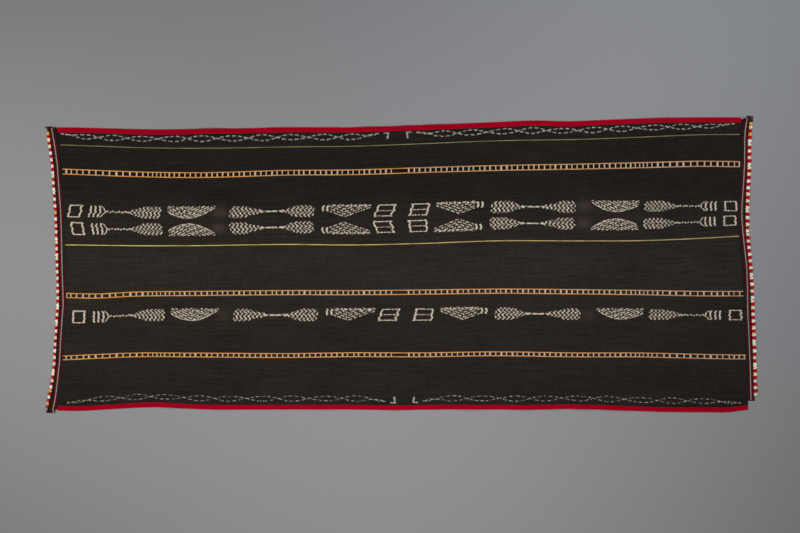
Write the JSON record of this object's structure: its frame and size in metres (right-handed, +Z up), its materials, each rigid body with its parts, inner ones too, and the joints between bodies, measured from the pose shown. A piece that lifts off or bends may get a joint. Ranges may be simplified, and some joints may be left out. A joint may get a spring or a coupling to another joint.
{
  "type": "blanket",
  "caption": "Long dark cotton blanket lying flat, with narrow red side bands and worked end bands edged by small rounded yarn loops.",
  "frame": {"origin": "centre of the blanket's outline, on the surface that it lies on", "axes": "+X along the blanket's length, +Y across it towards its north edge, +Z up out of the patterned face"},
  "size_m": [2.2776, 0.95, 0.0083],
  "materials": {
    "dark_cotton": "warp-faced handwoven cotton, brown-black, matt",
    "red_cotton": "narrow warp-rep band, crimson, matt",
    "dark_red_yarn": "worked yarn rows, dark red with a white cord and black and green stitches",
    "loop_yarn": "wound yarn loops, alternately red and cream with some yellow"
  },
  "bodies": {
    "root": {"field_cloth": "dark_cotton", "side_band_north": "red_cotton", "side_band_south": "red_cotton", "end_band_west": "dark_red_yarn", "end_band_east": "dark_red_yarn", "loop_edging_west": "loop_yarn", "loop_edging_east": "loop_yarn"}
  },
  "joints": []
}
